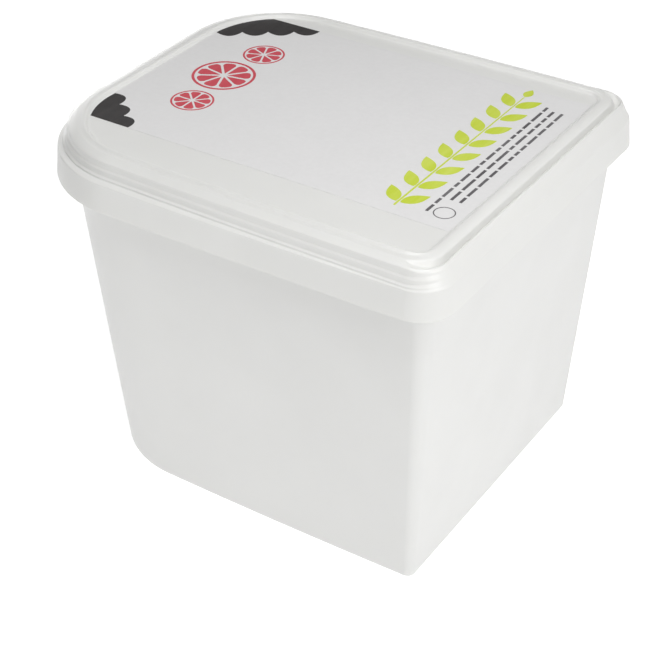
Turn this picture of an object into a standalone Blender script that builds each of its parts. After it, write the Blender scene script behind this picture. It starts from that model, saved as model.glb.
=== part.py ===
"""A shut catering tub of sorbet: tapered tub, stepped lid and a paper label.

The lid outline is a rectangle with two large corners at -X and two small ones at +X. The steps of
its edge lie a little further in towards -X. Metres, +Z up, base on Z = 0, origin under the middle
of the lid outline.
"""

import math

import bpy

MM = 0.001

# Lid outline, at the top edge of the skirt
LID_LENGTH = 216.0
LID_WIDTH = 188.6
LID_CORNER_LARGE = 53.5
LID_CORNER_SMALL = 15.0
SIDE_BOW = 0.65
EDGE_Z = 163.7

# Skirt
SKIRT_DROP = 13.3
SKIRT_FLARE = 1.4
SKIRT_THICKNESS = 1.5
EDGE_BREAK = 0.4
UNDERSIDE_DROP = 0.2

# Tub
GAP = 0.3
BASE_INSET = 16.7
BASE_END_OUT = 1.6
WALL_TOP_INSET = 6.6
BASE_CORNER_LARGE = 50.0
BASE_CORNER_SMALL = 4.0
WALL_CORNER_LARGE = 46.8
WALL_CORNER_SMALL = 7.4
FLANGE_DROP = 9.5
FLANGE_RISE = 1.2
FLANGE_EDGE = 0.4
RIM_BREAK = (0.5, 0.7)
BASE_EDGE = 1.6
BASE_EDGE_MIDDLE = 0.3
FOOT_WIDTH = 5.0
FOOT_HEIGHT = 1.2

# Panel of the lid, and label
PANEL_INSET = 13.6
PANEL_Z = 8.15
PANEL_STEP = 0.3
PANEL_TAPER = 0.7
LABEL_END_X = 93.7
LABEL_Y = (-59.3, 71.0)
LABEL_CLEAR = 0.3
LABEL_THICKNESS = 0.25

ARC_LARGE = 16
ARC_SMALL = 7
SIDE_LONG = 8
SIDE_SHORT = 1

# Steps of the lid's edge, from the skirt's top edge inwards. Each gives its inset at +X, its heights
# above that edge at +X, along the sides and at -X, its radius at the small corners, and how much
# further in it lies at -X. Only the +X side has a groove, and it has no steps.
SHOULDER = (
    (-0.1, -0.6, -0.6, -0.6, 15.1, 0.0),
    (0.2, 0.3, 0.2, 0.2, 14.8, 0.0),
    (0.7, 1.2, 0.5, 0.5, 14.3, 2.4),
    (0.9, 1.6, 1.2, 1.2, 14.1, 2.4),
    (1.8, 3.3, 1.8, 1.8, 13.2, 2.6),
    (2.1, 3.9, 3.9, 3.9, 12.9, 2.6),
    (3.1, 5.9, 4.8, 4.8, 11.9, 2.6),
    (3.4, 6.5, 7.4, 7.4, 11.6, 2.4),
    (4.1, 7.8, 7.9, 8.0, 11.0, 2.3),
    (5.2, 6.3, 8.3, 8.7, 11.0, 2.3),
    (6.1, 6.2, 8.7, 9.2, 11.4, 2.3),
    (7.2, 8.4, 9.0, 9.5, 12.9, 2.2),
    (8.0, 9.1, 9.1, 9.8, 12.8, 2.1),
    (9.6, 9.6, 9.2, 10.1, 12.3, 1.7),
    (10.6, 9.8, 9.9, 10.2, 10.7, 1.4),
    (11.4, 9.8, 10.2, 10.2, 9.2, 1.2),
    (12.3, 9.6, 10.0, 10.0, 7.9, 1.0),
    (PANEL_INSET - 0.1, 8.5, 8.5, 8.5, 6.1, PANEL_TAPER),
)


def arc(cx, cy, radius, start, end, count):
    points = []
    for step in range(count + 1):
        angle = math.radians(start + (end - start) * step / count)
        points.append((cx + radius * math.cos(angle), cy + radius * math.sin(angle)))
    return points


def side(start, end, bow, count):
    """The inner points of one side, bowed outwards by bow at its middle."""
    dx = end[0] - start[0]
    dy = end[1] - start[1]
    length = math.hypot(dx, dy)
    points = []
    for step in range(1, count):
        t = step / count
        out = bow * 4.0 * t * (1.0 - t)
        points.append((start[0] + dx * t + out * dy / length, start[1] + dy * t - out * dx / length))
    return points


def outline(inset, large, small, taper=0.0):
    """The lid outline drawn in by inset, with the two corner radii given, and narrower at -X by taper."""
    x0 = -LID_LENGTH / 2 + inset
    x1 = LID_LENGTH / 2 - inset
    h = LID_WIDTH / 2 - inset
    far_h = h - taper
    front = arc(x1 - small, -h + small, small, -90, 0, ARC_SMALL)
    back = arc(x1 - small, h - small, small, 0, 90, ARC_SMALL)
    far_back = arc(x0 + large, far_h - large, large, 90, 180, ARC_LARGE)
    far_front = arc(x0 + large, -far_h + large, large, 180, 270, ARC_LARGE)
    points = list(front)
    points += side(front[-1], back[0], 0.0, SIDE_SHORT)
    points += back
    points += side(back[-1], far_back[0], SIDE_BOW, SIDE_LONG)
    points += far_back
    points += side(far_back[-1], far_front[0], 0.0, SIDE_SHORT)
    points += far_front
    points += side(far_front[-1], front[0], SIDE_BOW, SIDE_LONG)
    return points


def level_ring(inset, z):
    """The lid outline drawn in by inset, z above the skirt's top edge."""
    points = outline(inset, LID_CORNER_LARGE - inset, LID_CORNER_SMALL - inset)
    return [(x, y, EDGE_Z + z) for x, y in points]


def step_ring(inset, head_z, side_z, tail_z, small, taper):
    """A ring of the lid's edge, whose height changes round the corners at +X and at -X."""
    large = LID_CORNER_LARGE - inset
    head_x = LID_LENGTH / 2 - inset - small
    tail_x = -LID_LENGTH / 2 + inset + large
    ring = []
    for x, y in outline(inset, large, small, taper):
        head = min(max((x - head_x) / small, 0.0), 1.0)
        tail = min(max((tail_x - x) / large, 0.0), 1.0)
        ring.append((x, y, EDGE_Z + side_z + (head_z - side_z) * head + (tail_z - side_z) * tail))
    return ring


def wall_ring(inset, z, shrink=0.0):
    """A ring of the tub's wall. Towards the base its corners tighten, and its +X end leans in less."""
    t = (inset - WALL_TOP_INSET) / (BASE_INSET - WALL_TOP_INSET)
    large = WALL_CORNER_LARGE + (BASE_CORNER_LARGE - WALL_CORNER_LARGE) * t
    small = WALL_CORNER_SMALL + (BASE_CORNER_SMALL - WALL_CORNER_SMALL) * t
    stretch = BASE_END_OUT * t / (LID_LENGTH / 2 - BASE_INSET)
    points = outline(inset + shrink, large - shrink, max(small - shrink, 0.8))
    return [(x + stretch * max(x, 0.0), y, z) for x, y in points]


def loft(rings):
    """A closed body through rings of equal count, with a flat cap at each end."""
    vertices = [(x * MM, y * MM, z * MM) for ring in rings for x, y, z in ring]
    count = len(rings[0])
    faces = [tuple(reversed(range(count)))]
    for ring in range(len(rings) - 1):
        low = ring * count
        high = low + count
        for i in range(count):
            j = (i + 1) % count
            faces.append((low + i, low + j, high + j, high + i))
    last = (len(rings) - 1) * count
    faces.append(tuple(range(last, last + count)))
    return vertices, faces


def add_object(name, vertices, faces, material, collection):
    mesh = bpy.data.meshes.new(name)
    mesh.from_pydata(vertices, [], faces)
    mesh.materials.append(material)
    mesh.validate()
    mesh.update()
    obj = bpy.data.objects.new(name, mesh)
    collection.objects.link(obj)
    return obj


def add_sheet(name, points, low, high, material, collection):
    """A flat plate of the given outline between two heights."""
    curve = bpy.data.curves.new(name, "CURVE")
    curve.dimensions = "2D"
    curve.fill_mode = "BOTH"
    curve.extrude = (high - low) / 2 * MM
    curve.materials.append(material)
    spline = curve.splines.new("POLY")
    spline.points.add(len(points) - 1)
    for point, (x, y) in zip(spline.points, points):
        point.co = (x * MM, y * MM, 0.0, 1.0)
    spline.use_cyclic_u = True
    obj = bpy.data.objects.new(name, curve)
    obj.location.z = (low + high) / 2 * MM
    collection.objects.link(obj)
    return obj


def make_material(name, colour, roughness):
    material = bpy.data.materials.new(name)
    material.use_nodes = True
    shader = material.node_tree.nodes["Principled BSDF"]
    shader.inputs["Base Color"].default_value = colour
    shader.inputs["Roughness"].default_value = roughness
    material.diffuse_color = colour
    return material


def tub_rings():
    """From the recessed middle of the base, out and up the wall, to the top under the lid."""
    flange_z = EDGE_Z - FLANGE_DROP
    skirt_in = SKIRT_THICKNESS + GAP
    slope = SKIRT_FLARE / SKIRT_DROP
    rim_z = -UNDERSIDE_DROP - GAP
    break_in, break_drop = RIM_BREAK
    middle = BASE_EDGE_MIDDLE * BASE_EDGE
    foot_in = BASE_EDGE + FOOT_WIDTH
    return [
        wall_ring(BASE_INSET, FOOT_HEIGHT, foot_in + FOOT_HEIGHT),
        wall_ring(BASE_INSET, 0.0, foot_in),
        wall_ring(BASE_INSET, 0.0, BASE_EDGE),
        wall_ring(BASE_INSET, middle, middle),
        wall_ring(BASE_INSET, BASE_EDGE),
        wall_ring(WALL_TOP_INSET, flange_z - FLANGE_RISE),
        wall_ring(WALL_TOP_INSET, flange_z - FLANGE_EDGE, -FLANGE_EDGE),
        level_ring(skirt_in - slope * FLANGE_DROP, -FLANGE_DROP),
        level_ring(skirt_in + slope * (rim_z - break_drop), rim_z - break_drop),
        level_ring(skirt_in + break_in, rim_z),
    ]


def lid_rings():
    """From the flat underside, down inside the skirt, up its face and in over the shoulder."""
    bottom_out = -SKIRT_FLARE
    bottom_in = bottom_out + SKIRT_THICKNESS
    rings = [
        level_ring(SKIRT_THICKNESS, -UNDERSIDE_DROP),
        level_ring(bottom_in, -SKIRT_DROP),
        level_ring(bottom_out + EDGE_BREAK, -SKIRT_DROP),
        level_ring(bottom_out, -SKIRT_DROP + EDGE_BREAK),
    ]
    rings += [step_ring(*step) for step in SHOULDER]
    inset = SHOULDER[-1][0] + PANEL_STEP
    small = SHOULDER[-1][4] - PANEL_STEP
    rings.append(step_ring(inset, PANEL_Z, PANEL_Z, PANEL_Z, small, PANEL_TAPER))
    return rings


def label_outline():
    """A rectangle whose two corners at -X follow the rounding of the lid's panel."""
    radius = LID_CORNER_LARGE - PANEL_INSET - LABEL_CLEAR
    cx = -LID_LENGTH / 2 + LID_CORNER_LARGE
    cy = LID_WIDTH / 2 - PANEL_TAPER - LID_CORNER_LARGE
    at_back = math.degrees(math.asin((LABEL_Y[1] - cy) / radius))
    at_front = math.degrees(math.asin((-LABEL_Y[0] - cy) / radius))
    points = [(LABEL_END_X, LABEL_Y[0]), (LABEL_END_X, LABEL_Y[1])]
    points += arc(cx, cy, radius, 180 - at_back, 180, ARC_LARGE // 2)
    points += arc(cx, -cy, radius, 180, 180 + at_front, ARC_LARGE // 2)
    return points


def main():
    for old in list(bpy.data.objects):
        bpy.data.objects.remove(old, do_unlink=True)
    collection = bpy.data.collections.new("sorbet_tub")
    bpy.context.scene.collection.children.link(collection)

    tub_plastic = make_material("tub_plastic", (0.86, 0.86, 0.85, 1.0), 0.4)
    lid_plastic = make_material("lid_plastic", (0.87, 0.87, 0.86, 1.0), 0.35)
    label_paper = make_material("label_paper", (0.82, 0.82, 0.84, 1.0), 0.5)

    add_object("tub", *loft(tub_rings()), tub_plastic, collection)
    add_object("lid", *loft(lid_rings()), lid_plastic, collection)
    low = EDGE_Z + PANEL_Z + LABEL_CLEAR
    add_sheet("label", label_outline(), low, low + LABEL_THICKNESS, label_paper, collection)


main()
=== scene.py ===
"""Looks for a shut catering tub of sorbet: white moulded tub and lid, and a printed paper label."""

import math
import random

import bmesh
import bpy
from mathutils import Matrix, Vector


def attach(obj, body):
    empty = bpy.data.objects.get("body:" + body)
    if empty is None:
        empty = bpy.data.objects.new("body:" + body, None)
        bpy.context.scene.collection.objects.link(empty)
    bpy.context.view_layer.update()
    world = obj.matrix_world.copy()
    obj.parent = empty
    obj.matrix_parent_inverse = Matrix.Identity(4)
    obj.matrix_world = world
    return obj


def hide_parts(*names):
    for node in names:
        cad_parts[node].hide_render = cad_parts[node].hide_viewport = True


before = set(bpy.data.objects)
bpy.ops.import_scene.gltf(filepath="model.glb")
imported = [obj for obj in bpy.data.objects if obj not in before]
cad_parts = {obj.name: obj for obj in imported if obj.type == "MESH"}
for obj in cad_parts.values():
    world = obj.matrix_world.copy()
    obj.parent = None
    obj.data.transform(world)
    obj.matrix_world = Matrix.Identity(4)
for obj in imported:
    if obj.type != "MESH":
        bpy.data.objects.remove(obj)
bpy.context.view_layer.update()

MM = 0.001
SEED = 7

# Sizes shared with the solids, in millimetres
LID_LENGTH = 216.0
LID_WIDTH = 188.6
LID_CORNER_LARGE = 53.5
LID_CORNER_SMALL = 15.0
SIDE_BOW = 0.65
EDGE_Z = 163.7
SKIRT_DROP = 13.3
SKIRT_FLARE = 1.4
SKIRT_THICKNESS = 1.5
UNDERSIDE_DROP = 0.2
GAP = 0.3
BASE_INSET = 16.7
BASE_END_OUT = 1.6
WALL_TOP_INSET = 6.6
BASE_CORNER_LARGE = 50.0
BASE_CORNER_SMALL = 4.0
WALL_CORNER_LARGE = 46.8
WALL_CORNER_SMALL = 7.4
FLANGE_DROP = 9.5
FOOT_WIDTH = 6.6
FOOT_HEIGHT = 1.2
PANEL_INSET = 13.6
PANEL_Z = 8.45
PANEL_TAPER = 0.7
LABEL_END_X = 93.7
LABEL_Y = (-59.3, 71.0)
LABEL_CLEAR = 0.3

# Smaller sizes of the tub and the lid, in millimetres
RECESS_IN = 30.0
WALL_TOP_DROP = 1.2
FLANGE_SLOPE = 1.0
RIM_DROP = 1.2
RIM_IN = 0.5
LEAST_CORNER = 0.8
PANEL_CORNER = 6.0
CAP_IN = 5.0
CAP_CORNER = 1.0

# How finely the outline and the profiles are divided, with lengths in millimetres
ARC_LARGE = 40
ARC_SMALL = 16
SIDE_STEPS = 24
ROUND_STEPS = 5
ROUND_REACH = 0.48
SUPPORT = 0.6
LID_SPACING = 12.0
WALL_SPACING = 20.0
SHARP = 0.0001
SAME_PLACE = 0.00001
SMOOTH_ANGLE = 40

# Steps of the lid's edge, from the skirt's top edge inwards. Each gives its inset at +X, its heights
# above that edge at +X, along the sides and at -X, its radius at the small corners, how much further
# in it lies at -X, and its rounding. Only the +X side has a groove, and it has no steps.
SHOULDER = (
    (0.0, 0.0, 0.0, 0.0, LID_CORNER_SMALL, 0.0, 0.4),
    (0.7, 1.2, 0.5, 0.5, 14.3, 2.4, 0.3),
    (0.9, 1.6, 1.2, 1.2, 14.1, 2.4, 0.3),
    (1.8, 3.3, 1.8, 1.8, 13.2, 2.6, 0.5),
    (2.1, 3.9, 3.9, 3.9, 12.9, 2.6, 0.5),
    (3.1, 5.9, 4.8, 4.8, 11.9, 2.6, 0.5),
    (3.4, 6.5, 7.4, 7.4, 11.6, 2.4, 0.5),
    (4.4, 7.9, 8.0, 8.2, 11.0, 2.3, 0.6),
    (5.1, 5.7, 8.3, 8.6, 11.0, 2.3, 0.5),
    (6.5, 5.5, 8.8, 9.3, 11.4, 2.3, 0.5),
    (7.4, 8.8, 9.1, 9.6, 12.8, 2.2, 0.8),
    (9.6, 9.5, 9.1, 10.1, 12.3, 1.7, 0.9),
    (11.2, 9.65, 10.2, 10.2, 9.3, 1.2, 0.8),
    (12.4, 9.5, 10.0, 10.0, 7.8, 1.0, 0.5),
    (PANEL_INSET, PANEL_Z, PANEL_Z, PANEL_Z, PANEL_CORNER, PANEL_TAPER, 0.8),
)

# Label and its print, in millimetres
LABEL_ROUND = LID_CORNER_LARGE - PANEL_INSET - LABEL_CLEAR
LABEL_ROUND_X = -LID_LENGTH / 2 + LID_CORNER_LARGE
LABEL_ROUND_Y = LID_WIDTH / 2 - PANEL_TAPER - LID_CORNER_LARGE
LABEL_LOW = EDGE_Z + PANEL_Z + 0.01
LABEL_TOP = EDGE_Z + PANEL_Z + 0.08
INK_LOW = LABEL_TOP + 0.004
INK_TOP = LABEL_TOP + 0.03
PRINT_MARGIN = 0.15

# Fields at the label's corners: the end of the label, where the scallops end along it, the lobes,
# how far they swell, and the angle at which they start on the rounding
CORNER_FIELDS = (
    ("corner_field_back", LABEL_Y[1], -52.0, 4, 4.5, 4.0),
    ("corner_field_front", LABEL_Y[0], -68.0, 3, 4.0, -6.0),
)
FIELD_STEPS = 14
LOBE_STEPS = 12
LOBE_FULLNESS = 0.8

# Citrus slices: middle, radius, number of segments and turn in degrees. The shares below are of the
# radius, and the gap is a share of a segment's angle.
SLICES = ((-63.0, 6.0, 15.0, 9, 10.0), (-60.0, -22.5, 10.0, 8, 0.0), (-60.0, 34.5, 10.0, 8, 22.5))
PEEL_SHARE = 0.09
FLESH_SHARE = 0.84
HEART_SHARE = 0.12
SEGMENT_GAP = 0.08
SEGMENT_ROUNDING = 0.16
SEGMENT_POWER = 5
SEGMENT_STEPS = 16
HOOP_STEPS = 18

# Leaf sprig: a stem along Y with pairs of leaves. Shares are of the stem's half width, and the start
# is a share of the distance between two pairs.
STEM_X = 64.5
STEM_Y = (-53.0, 62.0)
STEM_WIDTH = 1.0
STEM_TIP_SHARE = 0.6
LEAF_PAIRS = 8
LEAF_LENGTH = 13.5
LEAF_WIDTH = 6.4
LEAF_ANGLE = 38.0
LEAF_CLEAR = 1.3
LEAF_START = 0.15
LEAF_FOOT_SHARE = 0.5
LEAF_STEPS = 18
LEAF_LEAN = 0.85
LEAF_FULLNESS = 0.9
END_LEAF_LENGTH = LEAF_LENGTH * 0.6
END_LEAF_WIDTH = LEAF_WIDTH * 0.7
END_LEAF_CLEAR = 0.4

# Rows of bars: their X, and where they begin and end along Y
BAR_ROWS = ((78.0, -50.0, 64.0), (82.2, -37.0, 66.0), (86.4, -37.0, 60.0))
BAR_LENGTHS = (3.5, 11.0)
BAR_WIDTH = 1.4
BAR_GAP = 1.5

# The printed ring: middle, outer radius and line width
RING = (85.0, -47.5, 4.7, 0.5)

# Colours, each with a second shade for its clouds, fibres or streaks
TUB_WHITE = ((0.752, 0.752, 0.738), (0.732, 0.732, 0.718))
LID_WHITE = ((0.735, 0.735, 0.717), (0.715, 0.715, 0.697))
LABEL_WHITE = ((0.724, 0.719, 0.718), (0.704, 0.699, 0.698))
DARK = ((0.026, 0.024, 0.024), (0.040, 0.036, 0.036))
RED = ((0.55, 0.062, 0.085), (0.60, 0.085, 0.11))
LIME = ((0.52, 0.62, 0.045), (0.58, 0.67, 0.10))
GREY = ((0.09, 0.085, 0.09), (0.16, 0.155, 0.16))
FLOOR_GREY = ((0.52, 0.52, 0.52), (0.50, 0.50, 0.50))
WHITE = (1.0, 1.0, 1.0, 1.0)

# Roughness of each surface, from its smoothest to its roughest place
TUB_GLOSS = (0.32, 0.42)
LID_GLOSS = (0.29, 0.39)
PAPER_GLOSS = (0.42, 0.55)
INK_GLOSS = (0.38, 0.5)

# Values of a noise between which its colours or gloss change
NOISE_SPAN = (0.3, 0.7)
FIBRE_SPAN = (0.35, 0.65)
STREAK_SPAN = (0.30, 0.62)
STREAK_STRETCH = (1.0, 0.12, 1.0)

PLASTIC_IOR = 1.49
PLASTIC_GLOW = 0.12
PLASTIC_DEPTH = (0.0025, 0.0025, 0.0022)

# Stage, in metres, degrees and watts
FLOOR_HALF = 8.0
FLOOR_Z = -0.0003
FLOOR_ROUGHNESS = 0.8
FLOOR_GLOW = 0.8
WORLD_GLOW = 0.17
MIDDLE = (0.0, 0.0, 0.09)

# Area lights: place, target, the panel's two sides and power
LIGHTS = (
    ("top_softbox", (0.12, -0.13, 0.72), (0.0, -0.02, 0.17), (0.45, 0.45), 2.75),
    ("left_softbox", (-1.1, 0.6, 0.27), MIDDLE, (0.6, 0.6), 2.6),
    ("back_softbox", (-0.75, 1.1, 0.16), (0.0, 0.0, 0.14), (1.6, 0.24), 2.2),
    ("low_fill", (-0.18, -0.5, 0.04), (0.0, -0.08, 0.02), (0.3, 0.06), 0.2),
    ("right_softbox", (0.76, -0.3, 0.58), MIDDLE, (0.55, 0.55), 3.25),
)

# Camera, fitted to the photo, with its lens in millimetres
CAMERA_PLACE = (0.36383, -0.56836, 0.51943)
CAMERA_AZIMUTH = 32.93
CAMERA_ELEVATION = 34.24
CAMERA_ROLL = 0.07
CAMERA_LENS = 94.39
CAMERA_SENSOR = 36.0
CAMERA_NEAR = 0.01


# Outlines and bodies


def clamp(value):
    return min(max(value, 0.0), 1.0)


def arc(cx, cy, radius, start, end, count):
    points = []
    for step in range(count + 1):
        angle = math.radians(start + (end - start) * step / count)
        points.append((cx + radius * math.cos(angle), cy + radius * math.sin(angle)))
    return points


def beside(start, end, t, out):
    """The point at a share t of the way from start to end, moved to the right of the way by out."""
    dx = end[0] - start[0]
    dy = end[1] - start[1]
    length = math.hypot(dx, dy)
    return start[0] + dx * t + out * dy / length, start[1] + dy * t - out * dx / length


def side(start, end, bow):
    """The inner points of one side, bowed outwards by bow at its middle."""
    shares = [step / SIDE_STEPS for step in range(1, SIDE_STEPS)]
    return [beside(start, end, t, bow * 4.0 * t * (1.0 - t)) for t in shares]


def outline(inset, large, small, taper=0.0):
    """The lid outline drawn in by inset, with the two corner radii given, and narrower at -X by taper."""
    x0 = -LID_LENGTH / 2 + inset
    x1 = LID_LENGTH / 2 - inset
    h = LID_WIDTH / 2 - inset
    far_h = h - taper
    front = arc(x1 - small, -h + small, small, -90, 0, ARC_SMALL)
    back = arc(x1 - small, h - small, small, 0, 90, ARC_SMALL)
    far_back = arc(x0 + large, far_h - large, large, 90, 180, ARC_LARGE)
    far_front = arc(x0 + large, -far_h + large, large, 180, 270, ARC_LARGE)
    points = list(front)
    points += side(front[-1], back[0], 0.0)
    points += back
    points += side(back[-1], far_back[0], SIDE_BOW)
    points += far_back
    points += side(far_back[-1], far_front[0], 0.0)
    points += far_front
    points += side(far_front[-1], front[0], SIDE_BOW)
    return points


def lid_ring(inset, head_z, side_z, tail_z, small, taper):
    """A ring of the lid's edge, whose height changes round the corners at +X and at -X."""
    large = LID_CORNER_LARGE - inset
    head_x = LID_LENGTH / 2 - inset - small
    tail_x = -LID_LENGTH / 2 + inset + large
    ring = []
    for x, y in outline(inset, large, small, taper):
        head = clamp((x - head_x) / small)
        tail = clamp((tail_x - x) / large)
        ring.append((x, y, EDGE_Z + side_z + (head_z - side_z) * head + (tail_z - side_z) * tail))
    return ring


def wall_ring(inset, z, shrink):
    """A ring of the tub's wall. Towards the base its corners change, and its +X end leans in less."""
    t = (inset - WALL_TOP_INSET) / (BASE_INSET - WALL_TOP_INSET)
    large = WALL_CORNER_LARGE + (BASE_CORNER_LARGE - WALL_CORNER_LARGE) * t
    small = WALL_CORNER_SMALL + (BASE_CORNER_SMALL - WALL_CORNER_SMALL) * t
    stretch = BASE_END_OUT * t / (LID_LENGTH / 2 - BASE_INSET)
    points = outline(inset + shrink, large - shrink, max(small - shrink, LEAST_CORNER))
    return [(x + stretch * max(x, 0.0), y, z) for x, y in points]


def mix(a, b, t):
    return tuple(x + (y - x) * t for x, y in zip(a, b))


def apart(a, b):
    return math.dist(a[:2], b[:2])


def rounded(profile, spacing):
    """Rows that start with two coordinates and end in a rounding, with each corner rounded.

    Long stretches are divided, with a row close to each end that keeps the shading crisp.
    """
    rows = [row[:-1] for row in profile]
    points = [rows[0]]
    for i in range(1, len(rows) - 1):
        here = rows[i]
        back = apart(here, rows[i - 1])
        on = apart(here, rows[i + 1])
        reach = min(profile[i][-1], ROUND_REACH * back, ROUND_REACH * on)
        if reach < SHARP:
            points.append(here)
            continue
        first = mix(here, rows[i - 1], reach / back)
        last = mix(here, rows[i + 1], reach / on)
        for step in range(ROUND_STEPS + 1):
            t = step / ROUND_STEPS
            points.append(mix(mix(first, here, t), mix(here, last, t), t))
    points.append(rows[-1])
    fine = [points[0]]
    for a, b in zip(points, points[1:]):
        length = apart(a, b)
        if length < SAME_PLACE:
            continue
        if length > 4 * SUPPORT:
            inner = length - 2 * SUPPORT
            parts = int(inner // spacing) + 1
            fine += [mix(a, b, (SUPPORT + inner * k / parts) / length) for k in range(parts + 1)]
        fine.append(b)
    return fine


def loft(rings):
    """A closed body through rings of equal count, with a flat cap at each end."""
    vertices = [(x * MM, y * MM, z * MM) for ring in rings for x, y, z in ring]
    count = len(rings[0])
    faces = [tuple(reversed(range(count)))]
    for ring in range(len(rings) - 1):
        low = ring * count
        high = low + count
        for i in range(count):
            j = (i + 1) % count
            faces.append((low + i, low + j, high + j, high + i))
    last = (len(rings) - 1) * count
    faces.append(tuple(range(last, last + count)))
    return vertices, faces


def slab(outlines, low, high):
    """Vertices and faces of flat plates, one for each outline, between two heights."""
    vertices = []
    faces = []
    for points in outlines:
        first = len(vertices)
        more, sides = loft([[(x, y, z) for x, y in points] for z in (low, high)])
        vertices += more
        faces += [tuple(first + i for i in face) for face in sides]
    return vertices, faces


def add_piece(name, body, material, smooth=True):
    """Adds one visible piece, which moves with the part and has the material slot given."""
    mesh = bpy.data.meshes.new(name)
    vertices, faces = body
    mesh.from_pydata(vertices, [], faces)
    mesh.materials.append(material)
    mesh.validate()
    mesh.update()
    if smooth:
        mesh.shade_smooth()
        mesh.set_sharp_from_angle(angle=math.radians(SMOOTH_ANGLE))
    obj = bpy.data.objects.new(name, mesh)
    bpy.context.scene.collection.objects.link(obj)
    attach(obj, "root")
    return obj


# Materials


class Nodes:
    """A small helper that adds linked nodes to one material."""

    def __init__(self, name):
        self.material = bpy.data.materials.new(name)
        self.material.use_nodes = True
        self.tree = self.material.node_tree
        self.shader = self.tree.nodes["Principled BSDF"]
        self.coords = self.add("ShaderNodeTexCoord").outputs["Object"]

    def add(self, kind):
        return self.tree.nodes.new(kind)

    def link(self, source, target):
        self.tree.links.new(source, target)

    def noise(self, scale, detail=3.0, roughness=0.5, stretch=None):
        node = self.add("ShaderNodeTexNoise")
        node.inputs["Scale"].default_value = scale
        node.inputs["Detail"].default_value = detail
        node.inputs["Roughness"].default_value = roughness
        source = self.coords
        if stretch is not None:
            mapping = self.add("ShaderNodeMapping")
            mapping.inputs["Scale"].default_value = stretch
            self.link(self.coords, mapping.inputs["Vector"])
            source = mapping.outputs["Vector"]
        self.link(source, node.inputs["Vector"])
        return node.outputs["Fac"]

    def ramp(self, source, ends, low, high):
        """Blends from the colour low to the colour high between the two ends of the source."""
        node = self.add("ShaderNodeValToRGB")
        for element, position, colour in zip(node.color_ramp.elements, ends, (low, high)):
            element.position = position
            element.color = (*colour, 1.0)
        self.link(source, node.inputs["Fac"])
        return node.outputs["Color"]

    def span(self, source, low, high):
        """Turns a noise into a value between low and high."""
        node = self.add("ShaderNodeMapRange")
        node.inputs["From Min"].default_value = NOISE_SPAN[0]
        node.inputs["From Max"].default_value = NOISE_SPAN[1]
        node.inputs["To Min"].default_value = low
        node.inputs["To Max"].default_value = high
        self.link(source, node.inputs["Value"])
        return node.outputs["Result"]

    def bump(self, height, distance, strength, before=None):
        node = self.add("ShaderNodeBump")
        node.inputs["Distance"].default_value = distance
        node.inputs["Strength"].default_value = strength
        self.link(height, node.inputs["Height"])
        if before is not None:
            self.link(before, node.inputs["Normal"])
        return node.outputs["Normal"]


def plastic(name, light, dark, gloss):
    """White moulded plastic: faint cloudiness, soft gloss and a very fine moulded skin."""
    n = Nodes(name)
    cloud = n.noise(scale=22.0, detail=4.0, roughness=0.55)
    n.link(n.ramp(cloud, NOISE_SPAN, dark, light), n.shader.inputs["Base Color"])
    n.link(n.span(n.noise(scale=60.0), *gloss), n.shader.inputs["Roughness"])
    skin = n.bump(n.noise(scale=500.0, detail=2.0), distance=0.00001, strength=0.2)
    waves = n.bump(n.noise(scale=28.0, detail=1.0), distance=0.0004, strength=0.12, before=skin)
    n.link(waves, n.shader.inputs["Normal"])
    n.shader.inputs["IOR"].default_value = PLASTIC_IOR
    n.shader.inputs["Subsurface Weight"].default_value = PLASTIC_GLOW
    n.shader.inputs["Subsurface Radius"].default_value = PLASTIC_DEPTH
    n.shader.inputs["Subsurface Scale"].default_value = 1.0
    return n.material


def paper(name, light, dark):
    """Coated label paper with a faint fibre."""
    n = Nodes(name)
    fibre = n.noise(scale=420.0, detail=5.0, roughness=0.65)
    n.link(n.ramp(fibre, FIBRE_SPAN, dark, light), n.shader.inputs["Base Color"])
    n.link(n.span(n.noise(scale=90.0), *PAPER_GLOSS), n.shader.inputs["Roughness"])
    n.link(n.bump(fibre, distance=0.00003, strength=0.3), n.shader.inputs["Normal"])
    return n.material


def ink(name, full, thin):
    """Printed ink with faint streaks along Y."""
    n = Nodes(name)
    streaks = n.noise(scale=260.0, detail=4.0, roughness=0.6, stretch=STREAK_STRETCH)
    n.link(n.ramp(streaks, STREAK_SPAN, thin, full), n.shader.inputs["Base Color"])
    n.link(n.span(n.noise(scale=150.0), *INK_GLOSS), n.shader.inputs["Roughness"])
    return n.material


tub_plastic = plastic("white_tub_plastic", *TUB_WHITE, TUB_GLOSS)
lid_plastic = plastic("white_lid_plastic", *LID_WHITE, LID_GLOSS)
label_paper = paper("label_paper_stock", *LABEL_WHITE)
dark_ink = ink("dark_ink", *DARK)
red_ink = ink("red_ink", *RED)
lime_ink = ink("lime_ink", *LIME)
grey_ink = ink("grey_ink", *GREY)


# Tub


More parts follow.
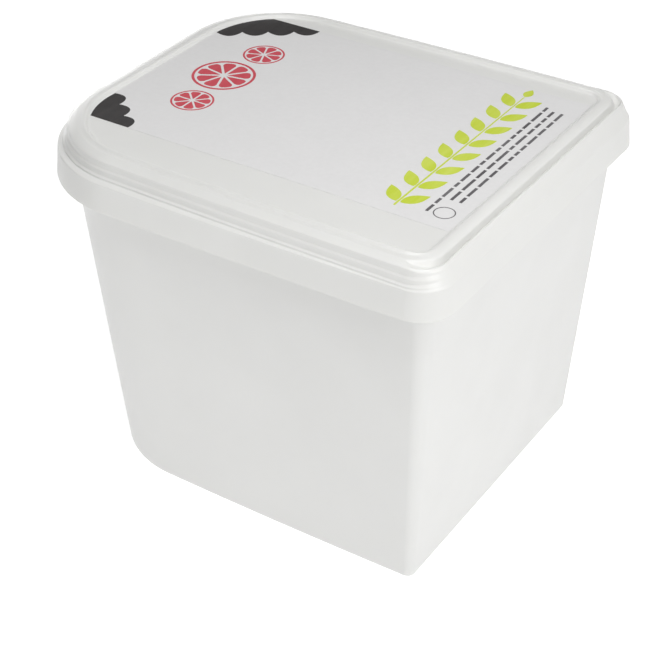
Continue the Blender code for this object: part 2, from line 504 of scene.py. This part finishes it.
def tub_rings():
    """Rings from the recess under the base to the rim inside the lid."""
    flange_z = EDGE_Z - FLANGE_DROP
    skirt_in = SKIRT_THICKNESS + GAP
    slope = SKIRT_FLARE / SKIRT_DROP
    profile = [
        (BASE_INSET + FOOT_WIDTH + RECESS_IN, FOOT_HEIGHT, 0.0),
        (BASE_INSET + FOOT_WIDTH + FOOT_HEIGHT, FOOT_HEIGHT, 1.0),
        (BASE_INSET + FOOT_WIDTH, 0.0, 0.6),
        (BASE_INSET, 0.0, 1.8),
        (WALL_TOP_INSET, flange_z - FLANGE_SLOPE, 1.2),
        (skirt_in - slope * FLANGE_DROP, flange_z, 0.6),
        (skirt_in - slope * RIM_DROP, EDGE_Z - RIM_DROP, 0.4),
        (skirt_in + RIM_IN, EDGE_Z - UNDERSIDE_DROP - GAP, 0.0),
    ]
    rings = []
    for inset, z in rounded(profile, WALL_SPACING):
        t = clamp(z / (flange_z - WALL_TOP_DROP))
        plain_inset = BASE_INSET + (WALL_TOP_INSET - BASE_INSET) * t
        rings.append(wall_ring(plain_inset, z, inset - plain_inset))
    return rings


tub = add_piece("tub_shell", loft(tub_rings()), tub_plastic)
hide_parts("tub")


# Lid


def skirt_step(inset, z, rounding):
    return inset, z, z, z, LID_CORNER_SMALL - inset, 0.0, rounding


def lid_rings():
    """Rings from the lid's underside, down and up round the skirt, and over the shoulder to the panel."""
    profile = [
        skirt_step(SKIRT_THICKNESS + CAP_IN, -UNDERSIDE_DROP, 0.0),
        skirt_step(SKIRT_THICKNESS, -UNDERSIDE_DROP, 0.4),
        skirt_step(SKIRT_THICKNESS - SKIRT_FLARE, -SKIRT_DROP, 0.5),
        skirt_step(-SKIRT_FLARE, -SKIRT_DROP, 0.6),
    ]
    profile += SHOULDER
    profile.append((PANEL_INSET + CAP_IN, PANEL_Z, PANEL_Z, PANEL_Z, CAP_CORNER, PANEL_TAPER, 0.0))
    return [lid_ring(*step) for step in rounded(profile, LID_SPACING)]


lid = add_piece("lid_cap", loft(lid_rings()), lid_plastic)
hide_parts("lid")


# Label


def label_outline():
    """A rectangle whose two corners at -X follow the rounding of the lid's panel."""
    at_back = math.degrees(math.asin((LABEL_Y[1] - LABEL_ROUND_Y) / LABEL_ROUND))
    at_front = math.degrees(math.asin((-LABEL_Y[0] - LABEL_ROUND_Y) / LABEL_ROUND))
    points = [(LABEL_END_X, LABEL_Y[0]), (LABEL_END_X, LABEL_Y[1])]
    points += arc(LABEL_ROUND_X, LABEL_ROUND_Y, LABEL_ROUND, 180 - at_back, 180, ARC_LARGE)
    points += arc(LABEL_ROUND_X, -LABEL_ROUND_Y, LABEL_ROUND, 180, 180 + at_front, ARC_LARGE)
    return points


sheet_body = slab([label_outline()], LABEL_LOW, LABEL_TOP)
sheet = add_piece("paper_label", sheet_body, label_paper, smooth=False)
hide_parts("label")


# Print


def add_print(name, outlines, material):
    add_piece(name, slab(outlines, INK_LOW, INK_TOP), material, smooth=False)


def scallops(start, end, count, bulge):
    """A chain of round lobes from start to end, swelling to the right of the way."""
    points = []
    for k in range(count * LOBE_STEPS + 1):
        t = k / (count * LOBE_STEPS)
        out = bulge * abs(math.sin(math.pi * t * count)) ** LOBE_FULLNESS
        points.append(beside(start, end, t, out))
    return points


def corner_field(end_y, along, lobes, bulge, low_angle):
    """A field of colour at one corner of the label at -X, with a scalloped inner edge."""
    sign = 1.0 if end_y > 0 else -1.0
    radius = LABEL_ROUND - PRINT_MARGIN
    top = abs(end_y) - PRINT_MARGIN
    high_angle = math.degrees(math.asin((top - LABEL_ROUND_Y) / radius))
    rim = arc(LABEL_ROUND_X, LABEL_ROUND_Y, radius, 180 - high_angle, 180 - low_angle, FIELD_STEPS)
    chain = scallops(rim[-1], (along, top), lobes, bulge)
    points = [(x, sign * y) for x, y in rim + chain[1:]]
    return points if sign > 0 else list(reversed(points))


def hoop(cx, cy, radius, width):
    """Quarters of a flat ring, as outlines."""
    quarters = []
    for start in (0, 90, 180, 270):
        outer = arc(cx, cy, radius, start, start + 90, HOOP_STEPS)
        inner = arc(cx, cy, radius - width, start + 90, start, HOOP_STEPS)
        quarters.append(outer + inner)
    return quarters


def citrus_slice(cx, cy, radius, segments, turn):
    """A citrus slice: its peel as a ring, and segments with rounded outer corners."""
    outlines = hoop(cx, cy, radius, radius * PEEL_SHARE)
    flesh = radius * FLESH_SHARE
    heart = radius * HEART_SHARE
    step = 360.0 / segments
    for i in range(segments):
        start = turn + i * step
        points = []
        for k in range(SEGMENT_STEPS + 1):
            t = k / SEGMENT_STEPS
            angle = math.radians(start + step * (SEGMENT_GAP + (1.0 - 2.0 * SEGMENT_GAP) * t))
            edge = flesh * (1.0 - SEGMENT_ROUNDING * abs(2.0 * t - 1.0) ** SEGMENT_POWER)
            points.append((cx + edge * math.cos(angle), cy + edge * math.sin(angle)))
        middle = math.radians(start + step / 2)
        points.append((cx + heart * math.cos(middle), cy + heart * math.sin(middle)))
        outlines.append(points)
    return outlines


def leaf(cx, cy, length, width, angle):
    """A pointed leaf, widest a little before its middle."""
    edge = []
    for k in range(LEAF_STEPS + 1):
        t = k / LEAF_STEPS
        out = 0.0
        if 0 < k < LEAF_STEPS:
            out = width / 2 * math.sin(math.pi * t ** LEAF_LEAN) ** LEAF_FULLNESS
        edge.append((length * (t - 0.5), out))
    loop = edge + [(a, -b) for a, b in reversed(edge[1:-1])]
    cos = math.cos(math.radians(angle))
    sin = math.sin(math.radians(angle))
    return [(cx + a * cos - b * sin, cy + a * sin + b * cos) for a, b in reversed(loop)]


def sprig():
    """A stem along Y with pairs of leaves, and one leaf at its end."""
    half = STEM_WIDTH / 2
    tip = half * STEM_TIP_SHARE
    low, high = STEM_Y
    stem = [(STEM_X - half, low), (STEM_X + half, low), (STEM_X + tip, high), (STEM_X - tip, high)]
    outlines = [stem]
    reach = LEAF_LENGTH / 2 + LEAF_CLEAR
    across = reach * math.sin(math.radians(LEAF_ANGLE)) + half * LEAF_FOOT_SHARE
    ahead = reach * math.cos(math.radians(LEAF_ANGLE))
    pitch = (high - low) / LEAF_PAIRS
    for k in range(LEAF_PAIRS):
        y = low + pitch * (k + LEAF_START) + ahead
        for sign in (-1.0, 1.0):
            angle = 90.0 - sign * LEAF_ANGLE
            outlines.append(leaf(STEM_X + sign * across, y, LEAF_LENGTH, LEAF_WIDTH, angle))
    end_y = high + END_LEAF_CLEAR + END_LEAF_LENGTH / 2
    outlines.append(leaf(STEM_X, end_y, END_LEAF_LENGTH, END_LEAF_WIDTH, 90.0))
    return outlines


def bar_rows():
    """Rows of short plain bars along Y, of seeded lengths."""
    draw = random.Random(SEED)
    outlines = []
    for x, low_y, high_y in BAR_ROWS:
        left = x - BAR_WIDTH / 2
        right = x + BAR_WIDTH / 2
        y = low_y
        length = draw.uniform(*BAR_LENGTHS)
        while y + length <= high_y:
            outlines.append([(left, y), (right, y), (right, y + length), (left, y + length)])
            y += length + BAR_GAP
            length = draw.uniform(*BAR_LENGTHS)
    return outlines


for name, *field in CORNER_FIELDS:
    add_print(name, [corner_field(*field)], dark_ink)
for number, fruit in enumerate(SLICES):
    add_print(f"citrus_slice_{number + 1}", citrus_slice(*fruit), red_ink)
add_print("leaf_sprig", sprig(), lime_ink)
add_print("print_bars", bar_rows(), grey_ink)
add_print("print_ring", hoop(*RING), grey_ink)


# Floor, lights, world and camera


def add_floor():
    mesh = bpy.data.meshes.new("floor")
    bm = bmesh.new()
    bmesh.ops.create_grid(bm, x_segments=2, y_segments=2, size=FLOOR_HALF)
    bm.to_mesh(mesh)
    bm.free()
    floor = bpy.data.objects.new("floor", mesh)
    floor.location = (0.0, 0.0, FLOOR_Z)
    bpy.context.scene.collection.objects.link(floor)
    light, dark = FLOOR_GREY
    n = Nodes("pale_floor")
    n.link(n.ramp(n.noise(scale=3.0), NOISE_SPAN, dark, light), n.shader.inputs["Base Color"])
    n.shader.inputs["Roughness"].default_value = FLOOR_ROUGHNESS
    n.shader.inputs["Emission Color"].default_value = WHITE
    n.shader.inputs["Emission Strength"].default_value = FLOOR_GLOW
    mesh.materials.append(n.material)


def add_light(name, place, target, sides, power):
    data = bpy.data.lights.new(name, "AREA")
    data.shape = "RECTANGLE"
    data.size = sides[0]
    data.size_y = sides[1]
    data.energy = power
    light = bpy.data.objects.new(name, data)
    light.location = place
    light.visible_camera = False
    light.rotation_euler = (Vector(target) - Vector(place)).to_track_quat("-Z", "Y").to_euler()
    bpy.context.scene.collection.objects.link(light)


def add_world():
    world = bpy.data.worlds.new("studio")
    world.use_nodes = True
    background = world.node_tree.nodes["Background"]
    background.inputs["Color"].default_value = WHITE
    background.inputs["Strength"].default_value = WORLD_GLOW
    bpy.context.scene.world = world


def add_camera():
    azimuth = math.radians(CAMERA_AZIMUTH)
    elevation = math.radians(CAMERA_ELEVATION)
    roll = math.radians(CAMERA_ROLL)
    flat = Vector((math.sin(azimuth), -math.cos(azimuth), 0.0))
    back = flat * math.cos(elevation) + Vector((0.0, 0.0, math.sin(elevation)))
    level = Vector((math.cos(azimuth), math.sin(azimuth), 0.0))
    upright = back.cross(level)
    right = level * math.cos(roll) + upright * math.sin(roll)
    up = upright * math.cos(roll) - level * math.sin(roll)
    data = bpy.data.cameras.new("camera")
    data.sensor_width = CAMERA_SENSOR
    data.lens = CAMERA_LENS
    data.clip_start = CAMERA_NEAR
    camera = bpy.data.objects.new("camera", data)
    turn = Matrix((right, up, back)).transposed()
    camera.matrix_world = Matrix.Translation(CAMERA_PLACE) @ turn.to_4x4()
    bpy.context.scene.collection.objects.link(camera)
    bpy.context.scene.camera = camera


add_floor()
for light in LIGHTS:
    add_light(*light)
add_world()
add_camera()
bpy.context.scene.view_settings.view_transform = "Standard"
